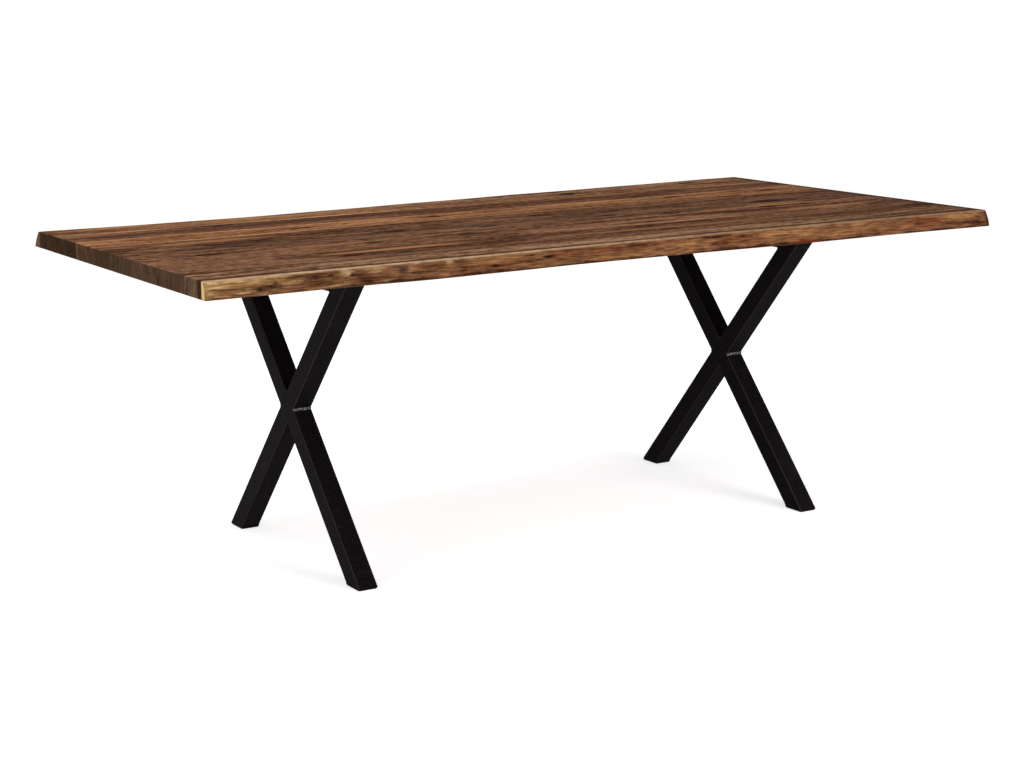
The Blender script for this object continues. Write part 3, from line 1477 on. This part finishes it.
FRONT_STRIP = Plank(
    "top_front_live_edge_strip", 1.3, Tones.around(120, 86, 60), 0.10, 0.09,
    light_streaks=(Streak(-0.85, -0.53, 0.35, 0.02, 0.35),), dark_rear=0.029, joint_line=0.9, end_pale=1.0,
    end_tone=1.1)
STAVE_A = Plank(
    "top_stave_a", 2.7, Tones.around(121, 89, 64), -0.06, 0.12,
    knots=(Knot(0.52, -0.462, 0.019, 0.007, 0.7),),
    dark_streaks=(Streak(0.60, -0.44, 0.80, 0.05, 0.25), Streak(-0.15, -0.448, 0.34, 0.009, 0.4)),
    light_streaks=(Streak(0.0, -0.480, 1.4, 0.009, 0.25),), joint_line=0.9,
    end_tone=1.15)
STAVE_B = Plank(
    "top_stave_b", 3.1, Tones.around(104, 71, 49), 0.05, 0.16,
    knots=(Knot(-0.637, -0.35, 0.03, 0.011), Knot(-0.512, -0.365, 0.024, 0.01, 0.8),
           Knot(0.2, -0.375, 0.022, 0.01, 0.8), Knot(1.02, -0.345, 0.041, 0.028, 0.45)),
    checks=(Check(0.19, 0.42, -0.290, 0.0055),),
    dark_streaks=(Streak(-0.45, -0.37, 0.55, 0.026, 0.35), Streak(1.0, -0.345, 0.16, 0.04, 0.6),
                  Streak(0.30, -0.292, 0.15, 0.012, 0.8)),
    light_streaks=(Streak(-0.50, -0.305, 0.26, 0.028, 0.6), Streak(0.25, -0.345, 0.45, 0.022, 0.3)))
STAVE_C = Plank(
    "top_stave_c", 4.6, Tones.around(111, 75, 52), -0.04, 0.10,
    knots=(Knot(-0.892, -0.150, 0.032, 0.011), Knot(-0.497, -0.18, 0.024, 0.01, 0.85),
           Knot(-0.237, -0.175, 0.027, 0.011), Knot(-0.162, -0.24, 0.022, 0.008, 0.8),
           Knot(0.679, -0.145, 0.035, 0.013, 0.95), Knot(0.789, -0.15, 0.027, 0.011, 0.8),
           Knot(0.389, -0.12, 0.024, 0.008, 0.8)),
    checks=(Check(0.13, 0.31, -0.231, 0.0065),),
    dark_streaks=(Streak(-0.85, -0.15, 0.20, 0.014, 0.6), Streak(0.22, -0.234, 0.13, 0.013, 0.85),
                  Streak(-0.13, -0.205, 0.32, 0.020, 0.3)),
    light_streaks=(Streak(0.70, -0.118, 0.16, 0.010, 0.6), Streak(0.30, -0.262, 0.12, 0.012, 0.5),
                   Streak(0.80, -0.225, 0.20, 0.028, 0.4)))
STAVE_D = Plank(
    "top_stave_d", 5.2, Tones.around(96, 66, 46), 0.07, 0.13,
    knots=(Knot(-0.817, -0.005, 0.03, 0.01), Knot(-0.767, -0.06, 0.027, 0.011, 0.85),
           Knot(-0.357, -0.025, 0.03, 0.011), Knot(-0.127, -0.075, 0.024, 0.01, 0.85),
           Knot(0.229, -0.065, 0.027, 0.011), Knot(0.749, -0.045, 0.046, 0.018, 1)),
    dark_streaks=(Streak(-0.06, -0.05, 0.78, 0.034, 0.42),),
    light_streaks=(Streak(0.73, -0.095, 0.12, 0.008, 0.6),))
STAVE_E = Plank(
    "top_stave_e", 6.9, Tones.around(102, 68, 46), -0.05, 0.08,
    knots=(Knot(-0.697, 0.012, 0.024, 0.01), Knot(0.089, 0.04, 0.03, 0.011),
           Knot(0.289, 0.012, 0.022, 0.008, 0.85), Knot(0.739, 0.108, 0.027, 0.01)),
    checks=(Check(-0.267, -0.157, 0.03, 0.0050),),
    light_streaks=(Streak(-0.80, 0.058, 0.24, 0.026, 0.4),), pale_rear=0.006, end_tone=0.85)
STAVE_F = Plank(
    "top_stave_f", 7.4, Tones.around(130, 86, 55), 0.03, 0.09,
    knots=(Knot(-0.517, 0.165, 0.027, 0.011), Knot(-0.142, 0.180, 0.03, 0.011),
           Knot(0.604, 0.185, 0.024, 0.01), Knot(0.834, 0.205, 0.024, 0.01, 0.8),
           Knot(0.919, 0.17, 0.027, 0.011, 0.8)),
    light_streaks=(Streak(-0.2, 0.15, 0.5, 0.02, 0.3),), pale_rear=0.009, end_pale=0.6, end_tone=0.7)
STAVE_G = Plank(
    "top_stave_g", 8.8, Tones.around(106, 70, 49), -0.08, 0.14,
    knots=(Knot(-0.657, 0.330, 0.027, 0.011), Knot(0.699, 0.335, 0.024, 0.01)),
    dark_streaks=(Streak(-0.54, 0.292, 0.40, 0.036, 0.75), Streak(-0.95, 0.275, 0.16, 0.04, 0.75),
                  Streak(-0.75, 0.250, 0.25, 0.020, 0.4),
                  Streak(0.355, 0.29, 0.10, 0.022, 0.7)),
    pale_rear=0.007, end_tone=0.58)
REAR_BOARD = Plank(
    "top_rear_live_edge_board", 9.5, Tones.around(116, 80, 55), 0.04, 0.11,
    knots=(Knot(0.409, 0.485, 0.032, 0.014), Knot(0.425, 0.43, 0.03, 0.014),
           Knot(0.405, 0.405, 0.022, 0.01), Knot(0.849, 0.46, 0.027, 0.013)),
    dark_streaks=(Streak(0.219, 0.52, 0.22, 0.018, 0.6),),
    light_streaks=(Streak(-0.55, 0.41, 0.50, 0.055, 0.3), Streak(-0.90, 0.443, 0.16, 0.022, 0.5)),
    pale_front=0.006, end_tone=0.55)

CREAM = paint(206, 176, 126)
UMBER = paint(58, 34, 24)
RUSSET = paint(108, 50, 28)
HONEY = paint(168, 122, 74)
SLATE = paint(62, 52, 48)

FRONT_PATCHES = (
    Patch(HONEY, -0.980, 0.026, 0.110, 0.009, 0.45), Patch(CREAM, -1.050, 0.037, 0.020, 0.006, 0.77),
    Patch(CREAM, -0.970, 0.034, 0.032, 0.004, 0.55), Patch(CREAM, -0.893, 0.038, 0.032, 0.004, 0.59),
    Patch(UMBER, -1.000, 0.017, 0.060, 0.0025, 0.45), Patch(HONEY, -1.030, 0.007, 0.050, 0.004, 0.4),
    Patch(UMBER, -0.921, 0.015, 0.050, 0.008, 0.75), Patch(UMBER, -0.840, 0.028, 0.040, 0.012, 0.55),
    Patch(UMBER, -0.790, 0.020, 0.050, 0.009, 0.4), Patch(CREAM, -0.740, 0.035, 0.014, 0.009, 0.64),
    Patch(UMBER, -0.700, 0.014, 0.070, 0.006, 0.4), Patch(CREAM, -0.668, 0.035, 0.013, 0.008, 0.51),
    Patch(CREAM, -0.650, 0.006, 0.010, 0.002, 0.34), Patch(SLATE, -0.605, 0.026, 0.020, 0.007, 0.75),
    Patch(CREAM, -0.568, 0.039, 0.013, 0.003, 0.42), Patch(UMBER, -0.545, 0.024, 0.040, 0.006, 0.4),
    Patch(CREAM, -0.490, 0.035, 0.010, 0.006, 0.47), Patch(UMBER, -0.460, 0.031, 0.020, 0.007, 0.5),
    Patch(HONEY, -0.370, 0.028, 0.080, 0.009, 0.4), Patch(RUSSET, -0.380, 0.016, 0.034, 0.004, 0.6),
    Patch(RUSSET, -0.290, 0.031, 0.026, 0.003, 0.5), Patch(RUSSET, -0.228, 0.0245, 0.030, 0.004, 0.6),
    Patch(HONEY, -0.240, 0.006, 0.080, 0.004, 0.45), Patch(RUSSET, -0.100, 0.031, 0.140, 0.007, 0.35),
    Patch(RUSSET, -0.160, 0.022, 0.040, 0.0025, 0.6), Patch(UMBER, -0.045, 0.026, 0.018, 0.005, 0.45),
    Patch(HONEY, 0.010, 0.009, 0.120, 0.005, 0.4), Patch(HONEY, 0.135, 0.022, 0.045, 0.009, 0.5),
    Patch(RUSSET, 0.290, 0.022, 0.080, 0.008, 0.35), Patch(HONEY, 0.380, 0.028, 0.050, 0.007, 0.4),
    Patch(HONEY, 0.485, 0.026, 0.036, 0.009, 0.55), Patch(RUSSET, 0.490, 0.006, 0.036, 0.006, 0.6),
    Patch(UMBER, 0.580, 0.034, 0.012, 0.003, 0.5), Patch(HONEY, 0.620, 0.020, 0.080, 0.010, 0.35),
    Patch(HONEY, 0.660, 0.033, 0.024, 0.004, 0.55), Patch(RUSSET, 0.865, 0.024, 0.055, 0.013, 0.6),
    Patch(HONEY, 0.975, 0.030, 0.060, 0.008, 0.5), Patch(UMBER, 1.000, 0.012, 0.065, 0.004, 0.6),
    Patch(UMBER, 1.066, 0.020, 0.010, 0.030, 0.75))
FRONT_PITS = (
    Pit(-0.943, 0.013, 0.008, 0.0030, 0.9), Pit(-0.915, 0.016, 0.009, 0.0030, 0.9),
    Pit(-0.906, 0.023, 0.006, 0.0036, 0.7), Pit(-0.814, 0.029, 0.008, 0.0036, 0.8),
    Pit(-0.777, 0.028, 0.008, 0.0030, 0.9), Pit(-0.725, 0.025, 0.008, 0.0032, 0.9),
    Pit(-0.605, 0.027, 0.012, 0.0040, 0.6), Pit(-0.378, 0.016, 0.014, 0.0026, 1.25),
    Pit(-0.282, 0.031, 0.012, 0.0020, 1.25), Pit(-0.236, 0.0245, 0.017, 0.0030, 1.3),
    Pit(0.840, 0.020, 0.009, 0.0028, 0.7), Pit(1.030, 0.014, 0.024, 0.0024, 0.8))
REAR_PITS = (
    Pit(0.90, 0.020, 0.018, 0.0044), Pit(0.41, 0.026, 0.020, 0.0050), Pit(-0.12, 0.017, 0.014, 0.0040),
    Pit(-0.58, 0.024, 0.016, 0.0042), Pit(-0.83, 0.014, 0.012, 0.0038), Pit(-0.98, 0.024, 0.011, 0.0040),
    Pit(0.17, 0.029, 0.014, 0.0036), Pit(0.66, 0.015, 0.016, 0.0040))


def main() -> None:
    """Dress the top and both frames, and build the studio."""
    logging.basicConfig(level=logging.INFO, format="%(name)s: %(message)s")
    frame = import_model()
    front_face = LiveFaceTones(side=-1, seed=1.7, pale_end=-1.05, pale_reach=0.60, blotch=1.4,
                               patches=FRONT_PATCHES)
    rear_face = LiveFaceTones(side=1, seed=4.2, pale_end=-1.10, pale_reach=0.80, rim_most=0.15)
    top = TableTop(
        (STAVE_A, STAVE_B, STAVE_C, STAVE_D, STAVE_E, STAVE_F, STAVE_G),
        (LiveBoard(FRONT_STRIP, front_face, FRONT_PITS), LiveBoard(REAR_BOARD, rear_face, REAR_PITS)))
    for name in top.build(frame["nodes"]):
        LOG.info("top: %s", name)
    steel = CoatFinish("black_powder_coat", corner_rub=0.5)
    glide = CoatFinish("black_nylon", paint(24, 23, 23), paint(40, 38, 37), roughness=0.7, gloss=0.15)
    oxide = CoatFinish("black_oxide", paint(44, 42, 42), paint(80, 76, 72), roughness=0.38, metallic=0.85,
                       gloss=0.5, grain=2200.0, relief=5e-5)
    for word in ("left", "right"):
        for name in XFrame(word, steel, BeadFinish(), glide, oxide).build(frame["nodes"]):
            LOG.info("frame: %s", name)
    Studio().build()
    bpy.context.scene.view_settings.view_transform = "Standard"


if __name__ == "__main__":
    main()
